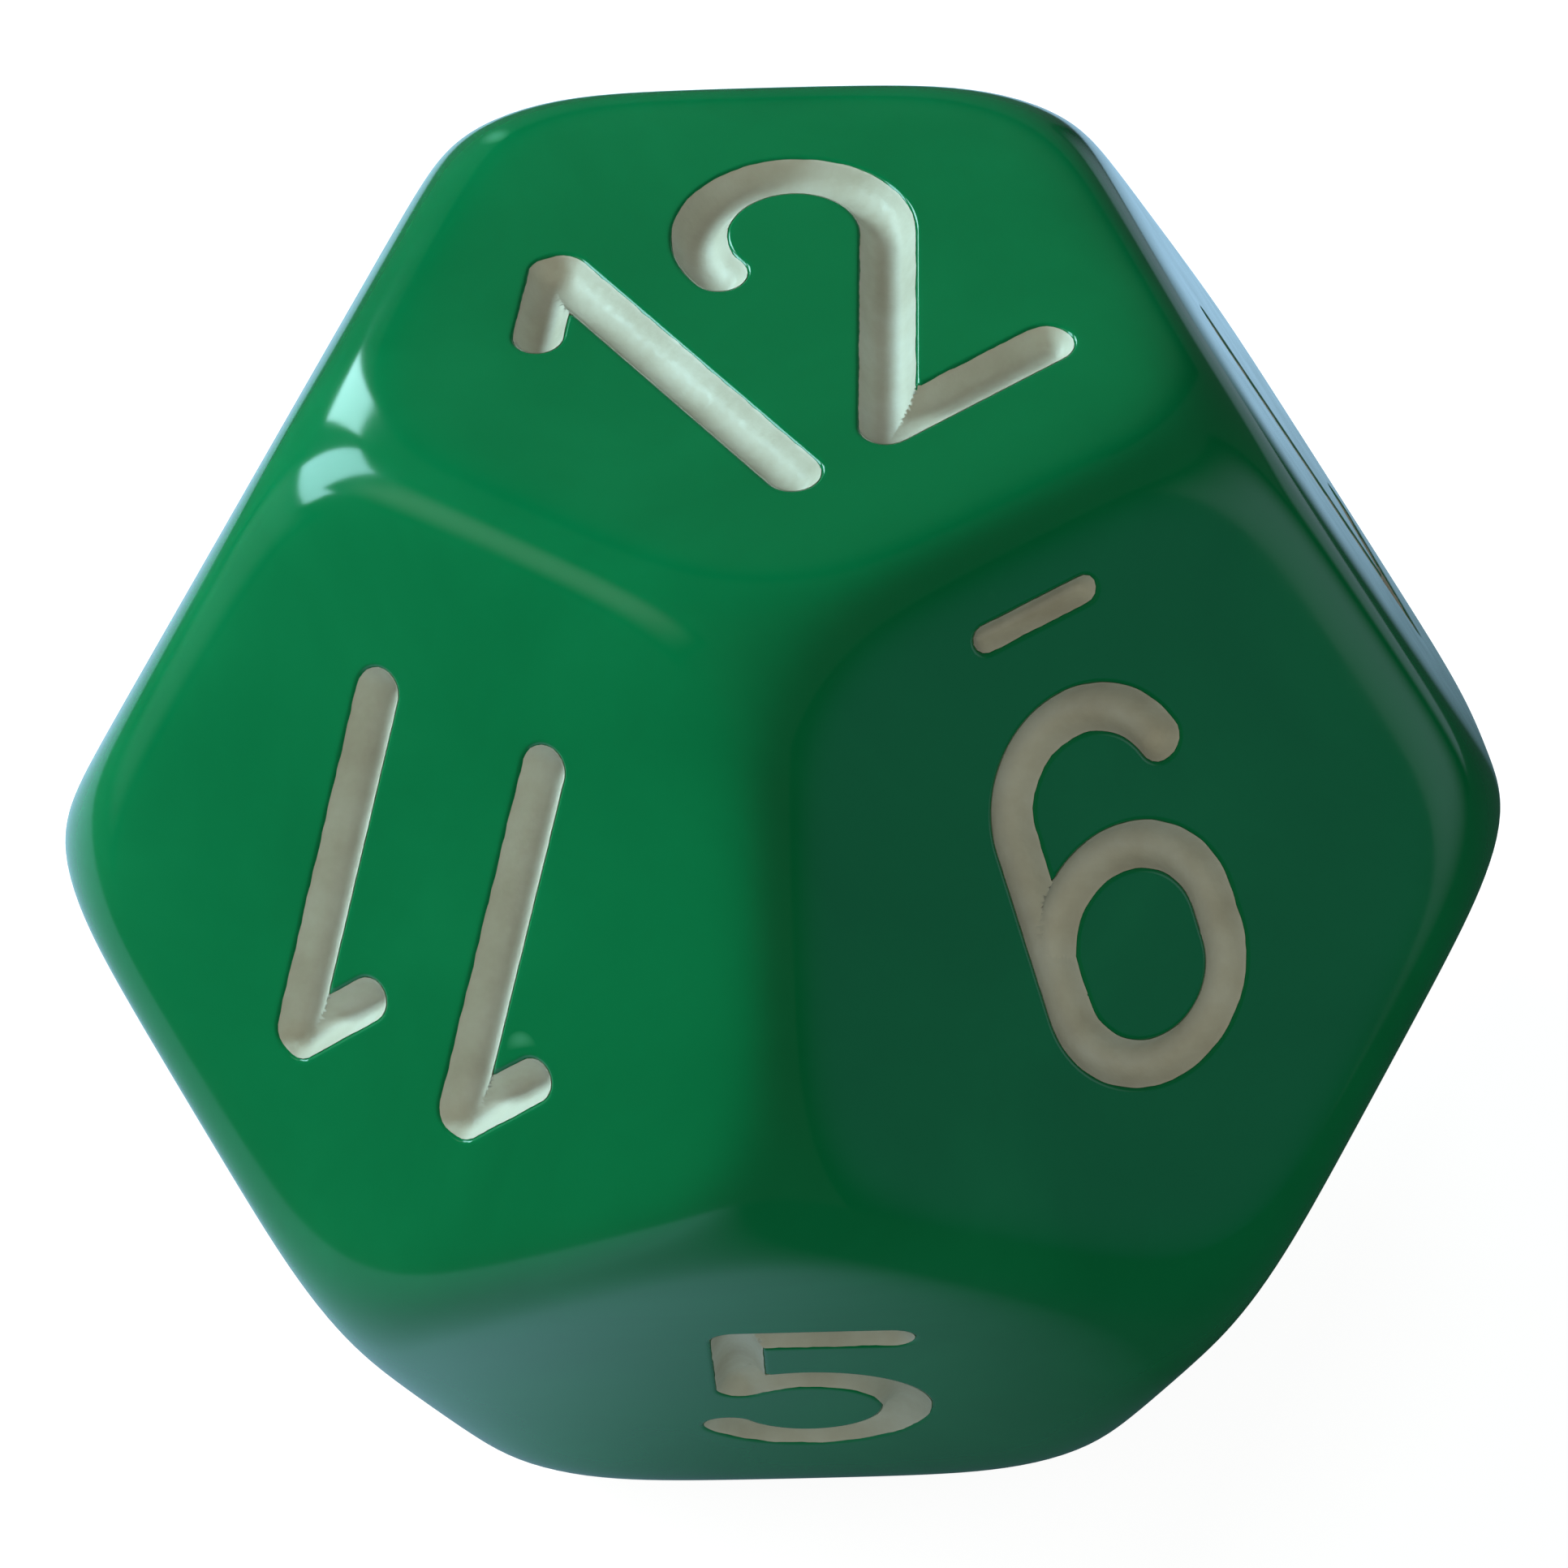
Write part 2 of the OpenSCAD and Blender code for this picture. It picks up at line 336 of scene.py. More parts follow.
def crossings(values, x, y, step):
    """Pieces of the zero line inside each grid cell, as pairs of keys, and each key's point."""
    points, joins = {}, []

    def cross(i, j, k, l):
        key = (i, j, k, l)
        if key not in points:
            t = values[i, j] / (values[i, j] - values[k, l])
            points[key] = (x + step * (i + t * (k - i)), y + step * (j + t * (l - j)))
        return key

    inside_here = values > 0
    total = (inside_here[:-1, :-1].astype(int) + inside_here[1:, :-1]
             + inside_here[:-1, 1:] + inside_here[1:, 1:])
    for i, j in np.argwhere((total > 0) & (total < 4)):
        i, j = int(i), int(j)
        sides = (
            ((i, j), (i + 1, j)), ((i + 1, j), (i + 1, j + 1)),
            ((i, j + 1), (i + 1, j + 1)), ((i, j), (i, j + 1)),
        )
        hit = [cross(*a, *b) for a, b in sides if inside_here[a] != inside_here[b]]
        if len(hit) == 4:
            split = (values[i:i + 2, j:j + 2].mean() > 0) == inside_here[i, j]
            hit = [hit[k] for k in ((0, 1, 2, 3) if split else (0, 3, 1, 2))]
        joins += [(hit[k], hit[k + 1]) for k in range(0, len(hit), 2)]
    return points, joins


def loops(points, joins):
    """Closed rings made of joined pieces."""
    linked = {}
    for a, b in joins:
        linked.setdefault(a, []).append(b)
        linked.setdefault(b, []).append(a)
    rings, seen = [], set()
    for start in linked:
        if start in seen:
            continue
        ring, here = [], start
        while here is not None:
            seen.add(here)
            ring.append(points[here])
            here = next((k for k in linked[here] if k not in seen), None)
        rings.append(np.array(ring))
    return rings


def even_ring(ring, spacing):
    closed = np.vstack([ring, ring[:1]])
    run = np.concatenate([[0], np.cumsum(np.hypot(*np.diff(closed, axis=0).T))])
    count = max(8, round(run[-1] / spacing))
    at = np.arange(count) * run[-1] / count
    return np.stack([np.interp(at, run, closed[:, k]) for k in (0, 1)], axis=1)


def settle(field, ring):
    """Moves a ring's points onto the zero line of the field."""
    dx, dy = np.array([SLOPE_STEP, 0]), np.array([0, SLOPE_STEP])
    for _ in range(2):
        gx = (field(ring + dx) - field(ring - dx)) / (2 * SLOPE_STEP)
        gy = (field(ring + dy) - field(ring - dy)) / (2 * SLOPE_STEP)
        size = gx * gx + gy * gy
        good = size > 0.3
        step = np.where(good, field(ring) / np.maximum(size, 0.3), 0)
        step = np.clip(step, -GRID_STEP / 3, GRID_STEP / 3)
        ring = ring - step[:, None] * np.stack([gx, gy], axis=1)
    return ring


def contour_rings(field):
    """Rings along which the field is zero."""
    side = np.arange(-FIELD_REACH, FIELD_REACH + GRID_STEP, GRID_STEP)
    xy = np.stack(np.meshgrid(side, side, indexing="ij"), axis=-1).reshape(-1, 2)
    values = field(xy).reshape(len(side), len(side))
    values = np.where(values == 0, 1e-9, values)
    found = loops(*crossings(values, side[0], side[0], GRID_STEP))
    rings = [even_ring(ring, CONTOUR_STEP) for ring in found if len(ring) > 5]
    return [settle(field, ring) for ring in rings]


def middle_points(strokes, roundness):
    """Points along the strokes' middle lines, where the groove is deepest."""
    found = []
    for stroke in strokes:
        kind, a, b, width = stroke
        run = math.dist(a, b) if kind == "line" else b[0] * (b[2] - b[1])
        t = np.linspace(0, 1, max(3, round(run / CONTOUR_STEP)))[:, None]
        if kind == "line":
            xy = a + t * (b - a)
        else:
            turn = b[1] + t * (b[2] - b[1])
            xy = a + b[0] * np.hstack([np.cos(turn), np.sin(turn)])
        own = width / 2 - roundness
        for point in xy[inside(strokes, xy, roundness) < own + 0.002]:
            if all(math.dist(point, other) > CONTOUR_STEP / 3 for other in found):
                found.append(point)
    return found


def crease_points(strokes, roundness):
    """Points along the lines where two strokes' grooves meet."""
    if len(strokes) < 2:
        return []
    side = np.arange(-FIELD_REACH, FIELD_REACH, CREASE_STEP)
    xy = np.stack(np.meshgrid(side, side, indexing="ij"), axis=-1).reshape(-1, 2)
    xy = xy[inside(strokes, xy, roundness) > 0]
    each = np.sort([s[3] / 2 - np.hypot(off_line(s, xy), roundness) for s in strokes], axis=0)
    return list(xy[each[-1] - each[-2] < 0.8 * CREASE_STEP])


def triangles(rings, loose):
    """Triangles between closed rings and loose points. Returns points, triangles and each point's
    source."""
    points, edges = [], []
    for ring in rings:
        first = len(points)
        points += [Vector(p) for p in ring]
        edges += [(first + k, first + (k + 1) % len(ring)) for k in range(len(ring))]
    points += [Vector(p) for p in loose]
    out, _, faces, sources, _, _ = delaunay_2d_cdt(points, edges, [], 1, 1e-6)
    return np.array([(p.x, p.y) for p in out]), faces, sources


# ---- the body ----

NORMALS = np.array([AXES[n][0] for n in FACES])


def skin(points):
    """A softened maximum of the distances beyond the twelve faces and beyond the corner ball.
    It is zero on the body's skin. Its slope is returned too."""
    over = np.exp((points @ NORMALS.T - INRADIUS) / EDGE_SOFT)
    reach = np.linalg.norm(points, axis=1)
    ball = np.exp((reach - CORNER_REACH) / CORNER_SOFT)
    total = over.sum(axis=1) + ball
    slope = over @ NORMALS / EDGE_SOFT + (ball / CORNER_SOFT / reach)[:, None] * points
    return np.log(total), slope / total[:, None]


def to_skin(points, directions, rounds):
    """The points, moved along their directions onto the skin."""
    for _ in range(rounds):
        value, slope = skin(points)
        points = points - (value / (slope * directions).sum(axis=1))[:, None] * directions
    return points


def crown(number, xy):
    """Height of the skin against the face's own plane: nothing in the middle, falling at the rim."""
    normal = AXES[number][0]
    points = to_skin(on_face(number, xy, np.zeros(len(xy))), normal[None, :], 4)
    return points @ normal - INRADIUS


def edge_direction(number):
    """Angle, in the face's plane, from its numeral's right to the middle of an edge."""
    normal, right, up = AXES[number]
    other = max((AXES[n][0] for n in FACES if n != number), key=lambda v: round(float(v @ normal), 6))
    return math.atan2(other @ up, other @ right)


def around(number):
    """Directions in the face's plane, and each one's angle from the nearest middle of an edge."""
    step = 2 * CORNER_TURN / COLUMNS
    off = -CORNER_TURN + step * np.arange(COLUMNS)
    turns = edge_direction(number) + np.concatenate([off + 2 * CORNER_TURN * k for k in range(5)])
    return np.stack([np.cos(turns), np.sin(turns)], axis=1), np.tile(off, 5)


def rim_ring(number, inset=0.0):
    directions, off = around(number)
    return directions * (np.minimum(RIM_SIDE / np.cos(off), RIM_CORNER) - inset)[:, None]


def flat_points(number, strokes):
    """Points that carry the face's gentle crown between its rim and its numeral."""
    found = []
    for inset in RIM_INSETS:
        ring = even_ring(rim_ring(number, inset), 0.22 + 0.3 * inset)
        clear = inside(strokes, ring, VALLEY_ROUND) < GROOVE_LEVELS[0] - 0.08
        found += list(ring[clear])
    return found


def face_top(number, strokes):
    """The face inside its rim, with the grooves of its numeral. Returns points, normals, triangles
    and the index of each rim point."""
    rim_points = rim_ring(number)
    rings = [rim_points]
    for level in GROOVE_LEVELS:
        rings += contour_rings(lambda p: inside(strokes, p, VALLEY_ROUND) - level)
    loose = middle_points(strokes, VALLEY_ROUND) + crease_points(strokes, VALLEY_ROUND)
    loose += flat_points(number, strokes)
    xy, found, sources = triangles(rings, loose)

    def height(p):
        return groove_height(strokes, p) + crown(number, p)

    normal, right, up = AXES[number]
    points = on_face(number, xy, height(xy))
    normals = slopes_to_normals(height, xy) @ np.array([right, up, normal])
    whole = inside(strokes, xy, VALLEY_ROUND) < GROOVE_LEVELS[0] + 0.002
    lean = skin(points)[1]
    normals[whole] = (lean / np.linalg.norm(lean, axis=1)[:, None])[whole]
    rim_at = {min(s): k for k, s in enumerate(sources) if s and min(s) < len(rim_points)}
    return points, normals, found, [rim_at[k] for k in range(len(rim_points))]


def rounding(number):
    """Points and normals of the rounding, ring by ring from the face's rim to its neighbours' borders."""
    normal, right, up = AXES[number]
    directions, off = around(number)
    flat = directions @ np.array([right, up])
    rim_points = on_face(number, rim_ring(number), crown(number, rim_ring(number)))
    start = np.arctan2(np.linalg.norm(rim_ring(number), axis=1), rim_points @ normal)
    border = np.arctan(math.tan(HALF_TILT) / np.cos(off))
    points, normals = [], []
    for k in range(1, RINGS + 1):
        tilt = start + (border - start) * k / RINGS
        away = np.sin(tilt)[:, None] * flat + np.cos(tilt)[:, None] * normal
        ring = to_skin(1.1 * INRADIUS * away, away, 9)
        lean = skin(ring)[1]
        points.append(ring)
        normals.append(lean / np.linalg.norm(lean, axis=1)[:, None])
    return points, normals


def body_data():
    """The whole body: points, their normals, and faces."""
    points, normals, faces = [], [], []
    for number, strokes in CUTS.items():
        first = len(points)
        top, lean, found, rim_at = face_top(number, strokes)
        points += list(top)
        normals += list(lean)
        faces += [[first + k for k in f] for f in found]
        inner = [first + k for k in rim_at]
        for ring, ring_lean in zip(*rounding(number)):
            outer = list(range(len(points), len(points) + len(ring)))
            points += list(ring)
            normals += list(ring_lean)
            for k in range(len(ring)):
                faces.append([inner[k - 1], outer[k - 1], outer[k], inner[k]])
            inner = outer
    return np.array(points), np.array(normals), faces


def joined(points, normals, faces):
    """The same mesh with points that share a place made one."""
    keys = [tuple(k) for k in np.round(points / MERGE_WITHIN).astype(int)]
    first, new_of, kept = {}, [], []
    for k, (i, j, l) in enumerate(keys):
        near = [(i + a, j + b, l + c) for a in (0, -1, 1) for b in (0, -1, 1) for c in (0, -1, 1)]
        found = next((first[n] for n in near if n in first), None)
        if found is None:
            found = len(kept)
            first[(i, j, l)] = found
            kept.append(k)
        new_of.append(found)
    cleaned = []
    for face in faces:
        ids = [new_of[v] for v in face]
        ids = [v for m, v in enumerate(ids) if v != ids[m - 1]]
        if len(ids) > 2:
            cleaned.append(ids)
    return points[kept], normals[kept], cleaned


def new_object(name, points, faces):
    mesh = bpy.data.meshes.new(name)
    mesh.from_pydata((np.asarray(points) * MM + np.array(CENTRE)).tolist(), [], faces)
    mesh.polygons.foreach_set("use_smooth", [True] * len(mesh.polygons))
    piece = bpy.data.objects.new(name, mesh)
    bpy.context.scene.collection.objects.link(piece)
    return piece


def make_body():
    points, normals, faces = joined(*body_data())
    piece = new_object("die_body", points, faces)
    piece.data.normals_split_custom_set_from_vertices(normals.tolist())
    return piece


# ---- the paint ----

def make_paint(name, number, strokes, phase):
    """A closed, thin lining that follows the groove's wall and floor and ends at its lip."""

    def edge(xy):
        return inside(strokes, xy, PAINT_ROUND) + PAINT_RAGGED * ragged(xy, phase) - PAINT_EDGE

    deepest = max(s[3] for s in strokes) / 2 - PAINT_ROUND
    rings = contour_rings(edge)
    for level in PAINT_LEVELS:
        if level < deepest - 0.02:
            rings += contour_rings(lambda xy: inside(strokes, xy, PAINT_ROUND) - level)
    loose = middle_points(strokes, PAINT_ROUND) + crease_points(strokes, PAINT_ROUND)
    xy, found, _ = triangles(rings, loose)
    middles = np.array([xy[list(f)].mean(axis=0) for f in found])
    faces = [list(f) for f, keep in zip(found, edge(middles) > -0.004) if keep]
    sides = {}
    for f in faces:
        for a, b in zip(f, f[1:] + f[:1]):
            sides[(a, b)] = (b, a) not in sides
            if (b, a) in sides:
                sides[(b, a)] = False
    count = len(xy)
    above = crown(number, xy)
    top = paint_height(strokes, xy, phase) + above
    bottom = np.minimum(groove_height(strokes, xy) + above, top) - PAINT_SINK
    normal, right, up = AXES[number]
    basis = np.array([right, up, normal])
    lean = slopes_to_normals(lambda p: paint_height(strokes, p, phase) + crown(number, p), xy) @ basis
    points = np.vstack([on_face(number, xy, top), on_face(number, xy, bottom)])
    walls = [(a, b) for (a, b), outer in sides.items() if outer]
    every = faces + [[v + count for v in reversed(f)] for f in faces]
    every += [[b, a, a + count, b + count] for a, b in walls]
    piece = new_object(name, points, every)
    corner_normals = [tuple(lean[v]) for f in faces for v in f]
    corner_normals += [tuple(-lean[v]) for f in faces for v in reversed(f)]
    for a, b in walls:
        across = np.cross(points[b] - points[a], normal)
        across /= max(np.linalg.norm(across), 1e-9)
        corner_normals += [tuple(across)] * 4
    piece.data.normals_split_custom_set(corner_normals)
    return piece


# ---- materials ----

def new_material(name):
    material = bpy.data.materials.new(name)
    material.use_nodes = True
    return material, material.node_tree.nodes, material.node_tree.links


def noise(nodes, links, where, scale, detail=3.0, roughness=0.5):
    node = nodes.new("ShaderNodeTexNoise")
    node.inputs["Scale"].default_value = scale
    node.inputs["Detail"].default_value = detail
    node.inputs["Roughness"].default_value = roughness
    links.new(where, node.inputs["Vector"])
    return node


def ramp(nodes, links, factor, stops):
    node = nodes.new("ShaderNodeValToRGB")
    node.color_ramp.elements[0].position, node.color_ramp.elements[0].color = stops[0]
    node.color_ramp.elements[1].position, node.color_ramp.elements[1].color = stops[-1]
    for place, colour in stops[1:-1]:
        node.color_ramp.elements.new(place).color = colour
    links.new(factor, node.inputs["Fac"])
    return node


def to_range(nodes, links, factor, low, high, from_low=0.0, from_high=1.0):
    node = nodes.new("ShaderNodeMapRange")
    node.inputs["From Min"].default_value = from_low
    node.inputs["From Max"].default_value = from_high
    node.inputs["To Min"].default_value = low
    node.inputs["To Max"].default_value = high
    links.new(factor, node.inputs["Value"])
    return node


def product(nodes, links, one, other):
    node = nodes.new("ShaderNodeMath")
    node.operation = "MULTIPLY"
    links.new(one, node.inputs[0])
    links.new(other, node.inputs[1])
    return node.outputs[0]


def body_plastic():
    """Glossy green plastic: faint cloudy swirls, a few dust specks, soft wear in the gloss."""
    material, nodes, links = new_material("body_plastic")
    shader = nodes["Principled BSDF"]
    shader.inputs["Subsurface Weight"].default_value = 0.12
    shader.inputs["Subsurface Radius"].default_value = (0.0004, 0.0016, 0.001)
    shader.inputs["Subsurface Scale"].default_value = 1.0
    shader.inputs["Specular IOR Level"].default_value = 0.45
    place = nodes.new("ShaderNodeTexCoord").outputs["Object"]
    swirl = noise(nodes, links, place, 170, 4.0, 0.55)
    swirl.inputs["Distortion"].default_value = 0.6
    green = ramp(nodes, links, swirl.outputs["Fac"], (
        (0.3, (0.0008, 0.162, 0.051, 1)), (0.52, (0.0014, 0.180, 0.058, 1)),
        (0.72, (0.003, 0.203, 0.068, 1))))
    speck = nodes.new("ShaderNodeTexVoronoi")
    speck.inputs["Scale"].default_value = 420
    links.new(place, speck.inputs["Vector"])
    rare = noise(nodes, links, place, 300, 1.0)
    dot = to_range(nodes, links, speck.outputs["Distance"], 1.0, 0.0, 0.06, 0.13)
    often = to_range(nodes, links, rare.outputs["Fac"], 0.0, 1.0, 0.66, 0.70)
    both = product(nodes, links, dot.outputs["Result"], often.outputs["Result"])
    mix = nodes.new("ShaderNodeMix")
    mix.data_type = "RGBA"
    mix.inputs["B"].default_value = (0.10, 0.42, 0.24, 1)
    links.new(both, mix.inputs["Factor"])
    links.new(green.outputs["Color"], mix.inputs["A"])
    links.new(mix.outputs["Result"], shader.inputs["Base Color"])
    wear = noise(nodes, links, place, 900, 3.0)
    gloss = to_range(nodes, links, wear.outputs["Fac"], 0.09, 0.14, 0.3, 0.7)
    links.new(gloss.outputs["Result"], shader.inputs["Roughness"])
    ripple = noise(nodes, links, place, 260, 2.0)
    bump = nodes.new("ShaderNodeBump")
    bump.inputs["Strength"].default_value = 0.25
    bump.inputs["Distance"].default_value = 0.00004
    links.new(ripple.outputs["Fac"], bump.inputs["Height"])
    links.new(bump.outputs["Normal"], shader.inputs["Normal"])
    return material


def numeral_paint():
    """Thin satin paint, a little uneven, with a trace of dirt."""
    material, nodes, links = new_material("numeral_paint")
    shader = nodes["Principled BSDF"]
    shader.inputs["Specular IOR Level"].default_value = 0.35
    place = nodes.new("ShaderNodeTexCoord").outputs["Object"]
    patch = noise(nodes, links, place, 900, 4.0, 0.6)
    tone = ramp(nodes, links, patch.outputs["Fac"], (
        (0.30, (0.45, 0.45, 0.37, 1)), (0.5, (0.515, 0.53, 0.45, 1)),
        (0.68, (0.56, 0.59, 0.52, 1))))
    links.new(tone.outputs["Color"], shader.inputs["Base Color"])
    grain = noise(nodes, links, place, 6000, 3.0)
    rough = to_range(nodes, links, grain.outputs["Fac"], 0.38, 0.55, 0.3, 0.7)
    links.new(rough.outputs["Result"], shader.inputs["Roughness"])
    bump = nodes.new("ShaderNodeBump")
    bump.inputs["Strength"].default_value = 0.35
    bump.inputs["Distance"].default_value = 0.00003
    links.new(grain.outputs["Fac"], bump.inputs["Height"])
    links.new(bump.outputs["Normal"], shader.inputs["Normal"])
    return material


def floor_material():
    """Nearly white, with a faint shadow."""
    material, nodes, links = new_material("pale_floor")
    shader = nodes["Principled BSDF"]
    shader.inputs["Base Color"].default_value = (0.25, 0.24, 0.24, 1)
    shader.inputs["Roughness"].default_value = 0.7
    shader.inputs["Specular IOR Level"].default_value = 0.2
    shader.inputs["Emission Color"].default_value = (1, 1, 1, 1)
    shader.inputs["Emission Strength"].default_value = 0.92
    return material


# The table's glow, in metres from the die's middle: which way it brightens, between which
# places, and over which distances it comes out from under the die. The darker front right and
# the dim middle are painted shade: the die's shadow on the table, painted into the glow.
GLOW_DIRECTION = (-0.90, 0.43, 0)
GLOW_FROM, GLOW_TO = -0.0082, 0.0017
SHADE_FROM, SHADE_TO = 0.005, 0.011
PAINTED_SHADOW_UNDER_DIE = 0.15


def table_material(name, tones):
    """A glow that brightens from the front right to the back left, and is dim under the die. Both are
    painted shade: the die's shadow on the table, painted into the glow.
    """
    material, nodes, links = new_material(name)
    nodes.remove(nodes["Principled BSDF"])
    place = nodes.new("ShaderNodeTexCoord").outputs["Object"]
    along = nodes.new("ShaderNodeVectorMath")
    along.operation = "DOT_PRODUCT"
    along.inputs[1].default_value = GLOW_DIRECTION
    links.new(place, along.inputs[0])
    # Painted shade: the glow darkens towards the front right, where the die shades the table.
    lit = to_range(nodes, links, along.outputs["Value"], 0.0, 1.0, GLOW_FROM, GLOW_TO)
    stops = [(k / 2, (*tone, 1)) for k, tone in enumerate(tones)]
    tone = ramp(nodes, links, lit.outputs["Result"], stops)
    away = nodes.new("ShaderNodeVectorMath")
    away.operation = "LENGTH"
    links.new(place, away.inputs[0])
    # Painted shadow: the glow is dimmed under the die, where the die shades the table.
    out_of_painted_shadow = to_range(nodes, links, away.outputs["Value"], PAINTED_SHADOW_UNDER_DIE, 1.0, SHADE_FROM, SHADE_TO)
    glow = nodes.new("ShaderNodeEmission")
    links.new(tone.outputs["Color"], glow.inputs["Color"])
    links.new(out_of_painted_shadow.outputs["Result"], glow.inputs["Strength"])
    links.new(glow.outputs[0], nodes["Material Output"].inputs["Surface"])
    return material


def panel_material(name, colour, half_sides, fade):
    """A plain glow that fades out towards its panel's edges."""
    material, nodes, links = new_material(name)
    nodes.remove(nodes["Principled BSDF"])
    apart = nodes.new("ShaderNodeSeparateXYZ")
    links.new(nodes.new("ShaderNodeTexCoord").outputs["Object"], apart.inputs[0])
    fades = []
    for axis, half in zip("XY", half_sides):
        off = nodes.new("ShaderNodeMath")
        off.operation = "ABSOLUTE"
        links.new(apart.outputs[axis], off.inputs[0])
        edge = to_range(nodes, links, off.outputs[0], 1.0, 0.0, half * (1 - fade), half)
        edge.interpolation_type = "SMOOTHSTEP"
        fades.append(edge.outputs["Result"])
    glow = nodes.new("ShaderNodeEmission")
    glow.inputs["Color"].default_value = (*colour, 1)
    links.new(product(nodes, links, *fades), glow.inputs["Strength"])
    links.new(glow.outputs[0], nodes["Material Output"].inputs["Surface"])
    return material


# ---- stage, light and camera ----

def disc(name, reach, height, material):
    count = 64
    turns = [2 * math.pi * k / count for k in range(count)]
    rim_points = [(reach * math.cos(t), reach * math.sin(t), height) for t in turns]
    mesh = bpy.data.meshes.new(name)
    mesh.from_pydata(rim_points, [], [list(range(count))])
    piece = bpy.data.objects.new(name, mesh)
    bpy.context.scene.collection.objects.link(piece)
    piece.data.materials.append(material)
    return piece


def unseen(piece, *kinds):
    for kind in kinds:
        setattr(piece, "visible_" + kind, False)


def make_floor():
    """The pale floor neither shows in the gloss nor lights the die. Two glows do that in its
    place, one each. Each of the three lies a little higher than the one before."""
    unseen(disc("floor", 0.7, cad_low.z, floor_material()), "diffuse", "glossy")
    seen = table_material("table_in_gloss", ((0.02, 0.05, 0.04), (0.22, 0.37, 0.48), (0.44, 0.72, 0.96)))
    cast = table_material("table_light", ((0.20, 0.26, 0.26), (0.50, 0.60, 0.59), (0.72, 0.84, 0.82)))
    unseen(disc("table_in_gloss", 0.045, cad_low.z + 0.00002, seen),
           "camera", "diffuse", "transmission", "volume_scatter", "shadow")
    unseen(disc("table_light", 0.10, cad_low.z + 0.00004, cast),
           "camera", "glossy", "transmission", "volume_scatter", "shadow")


def facing(azimuth, elevation, distance):
    """Place and turn of something that faces the die; azimuth is from +X towards +Y."""
    a, e = math.radians(azimuth), math.radians(elevation)
    away = Vector((math.cos(a) * math.cos(e), math.sin(a) * math.cos(e), math.sin(e)))
    return CENTRE + away * distance, away.to_track_quat("Z", "Y").to_euler()


def panel(name, azimuth, elevation, wide, high, colour, fade):
    """A soft-edged glow seen in the gloss; wide and high are in degrees."""
    distance = 0.3
    x, y = (distance * math.tan(math.radians(a) / 2) for a in (wide, high))
    mesh = bpy.data.meshes.new(name)
    mesh.from_pydata([(-x, -y, 0), (x, -y, 0), (x, y, 0), (-x, y, 0)], [], [(0, 1, 2, 3)])
    piece = bpy.data.objects.new(name, mesh)
    bpy.context.scene.collection.objects.link(piece)
    piece.location, piece.rotation_euler = facing(azimuth, elevation, distance)
    mesh.materials.append(panel_material(name, colour, (x, y), fade))
    unseen(piece, "camera", "diffuse", "transmission", "volume_scatter", "shadow")


def soft_box(name, azimuth, elevation, distance, width, height, radiance, colour, in_gloss):
    """A rectangular light that faces the die. It shows in the gloss or lights the shading."""
    data = bpy.data.lights.new(name, "AREA")
    data.shape = "RECTANGLE"
    data.size, data.size_y = width, height
    data.energy = radiance * math.pi * width * height
    data.color = colour
    light = bpy.data.objects.new(name, data)
    light.location, light.rotation_euler = facing(azimuth, elevation, distance)
    light.visible_camera = False
    light.visible_glossy = in_gloss
    light.visible_diffuse = not in_gloss
    bpy.context.scene.collection.objects.link(light)


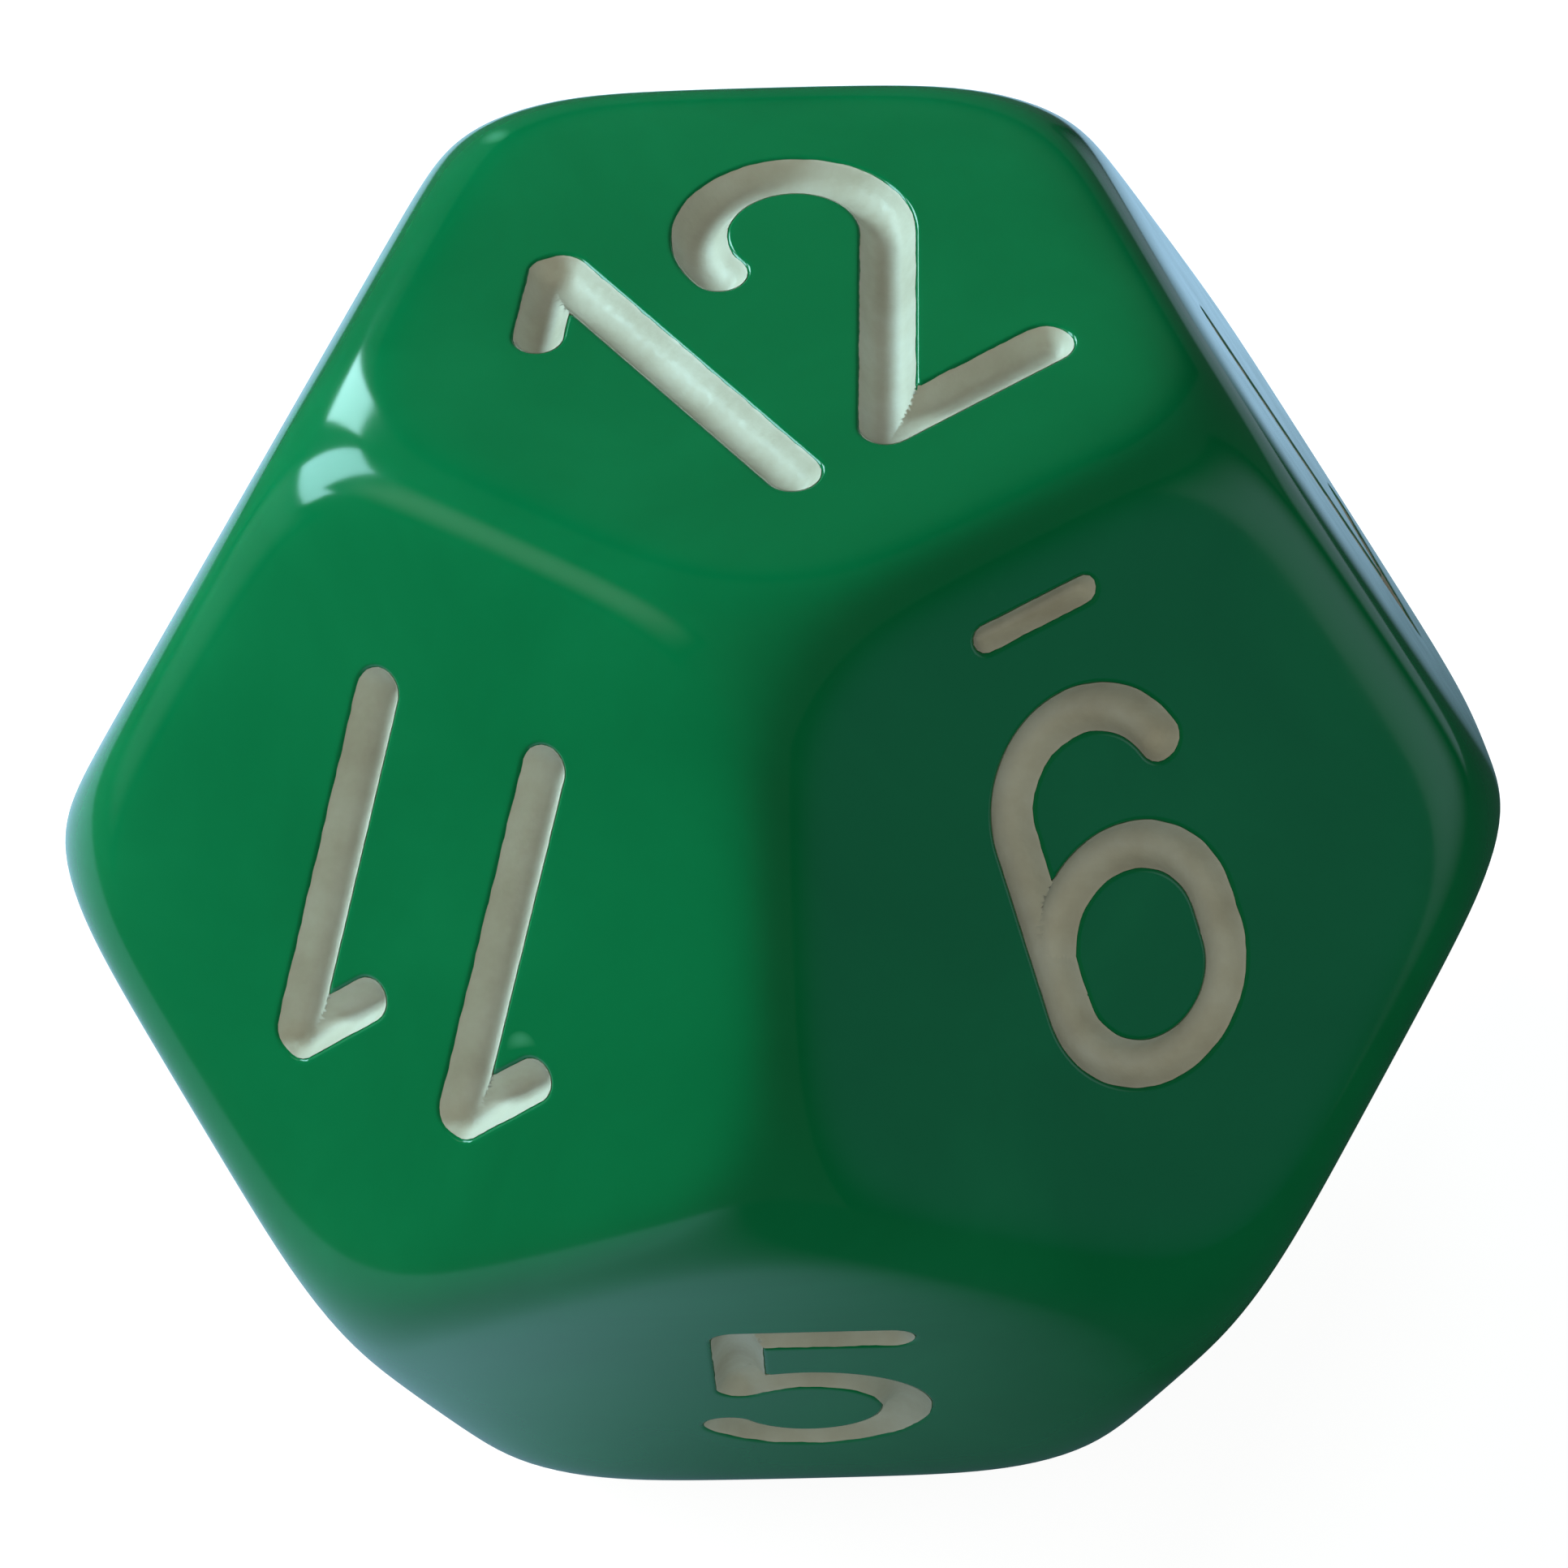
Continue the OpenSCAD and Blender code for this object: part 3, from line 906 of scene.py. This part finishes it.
def make_lights():
    """The key and the fill light the shading; all the others only show in the gloss.
    Soft boxes: azimuth, elevation, distance, width, height, radiance, colour, in the gloss.
    Panels: azimuth, elevation, width and height in degrees, colour, share that fades."""
    key, warm = (0.72, 1.0, 1.02), (1.0, 0.92, 0.72)
    soft_box("key", 160, 33, 0.25, 0.085, 0.085, 34.0, key, False)
    soft_box("fill", -80, 44, 0.6, 1.1, 1.1, 0.63, warm, False)
    soft_box("pane_far", 127, 31, 0.6, 0.19, 0.21, 13.0, (0.50, 0.86, 0.92), True)
    soft_box("pane_near", 166, 30, 0.6, 0.28, 0.28, 12.0, (0.46, 0.82, 0.92), True)
    panel("side_panel", 194, 41, 36, 30, (0.84, 1.0, 0.92), 0.8)
    panel("rim_panel", 168, 5, 45, 26, (0.28, 0.36, 0.42), 0.5)
    panel("back_panel", 78, 42, 54, 50, (0.09, 0.08, 0.09), 0.6)
    panel("back_right", 50, -12, 50, 26, (0.34, 0.46, 0.56), 0.4)
    panel("right_panel", -4, 5, 58, 52, (0.56, 0.74, 0.94), 0.85)
    panel("right_near", -32, 5, 60, 54, (0.12, 0.18, 0.34), 0.9)


def make_world():
    world = bpy.data.worlds.new("studio")
    world.use_nodes = True
    bpy.context.scene.world = world
    background = world.node_tree.nodes["Background"]
    background.inputs["Color"].default_value = (0.75, 0.85, 1.0, 1)
    background.inputs["Strength"].default_value = 0.08


def make_camera():
    """Azimuth turns round the die, with 0 looking along +Y. Lengths are in metres, and the lens
    and sensor in millimetres."""
    azimuth, elevation, roll = (math.radians(a) for a in (1.686, 42.331, -2.586))
    distance, lens, sensor = 0.117528, 179.83, 36.0
    side_shift, lift_shift = 0.000006, -0.000139
    out = math.cos(elevation)
    back = Vector((math.sin(azimuth) * out, -math.cos(azimuth) * out, math.sin(elevation)))
    level = Vector((math.cos(azimuth), math.sin(azimuth), 0))
    upright = back.cross(level)
    right = math.cos(roll) * level + math.sin(roll) * upright
    up = math.cos(roll) * upright - math.sin(roll) * level
    data = bpy.data.cameras.new("camera")
    data.lens, data.sensor_width = lens, sensor
    data.clip_start, data.clip_end = 0.001, 10
    camera = bpy.data.objects.new("camera", data)
    bpy.context.scene.collection.objects.link(camera)
    turn = np.array([right, up, back]).T
    camera.rotation_mode = "QUATERNION"
    camera.rotation_quaternion = Matrix(turn.tolist()).to_quaternion()
    camera.location = CENTRE - side_shift * right - lift_shift * up + distance * back
    bpy.context.scene.camera = camera


# ---- the scene ----

def add_piece(piece, material, slot, *nodes):
    piece.data.materials.append(material)
    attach(piece, "root")
    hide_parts(*nodes)


for extra in [o for o in bpy.data.objects if o.type in ("LIGHT", "CAMERA")]:
    bpy.data.objects.remove(extra)

plastic = body_plastic()
paint = numeral_paint()
add_piece(make_body(), plastic, "body_plastic", "moulded_body")
for order, (node, (number, strokes)) in enumerate(PAINTS.items()):
    lining = make_paint("lining_" + node[6:], number, strokes, 1.3 * order)
    add_piece(lining, paint, "numeral_paint", node)

make_floor()
make_lights()
make_world()
make_camera()
bpy.context.scene.view_settings.view_transform = "Standard"
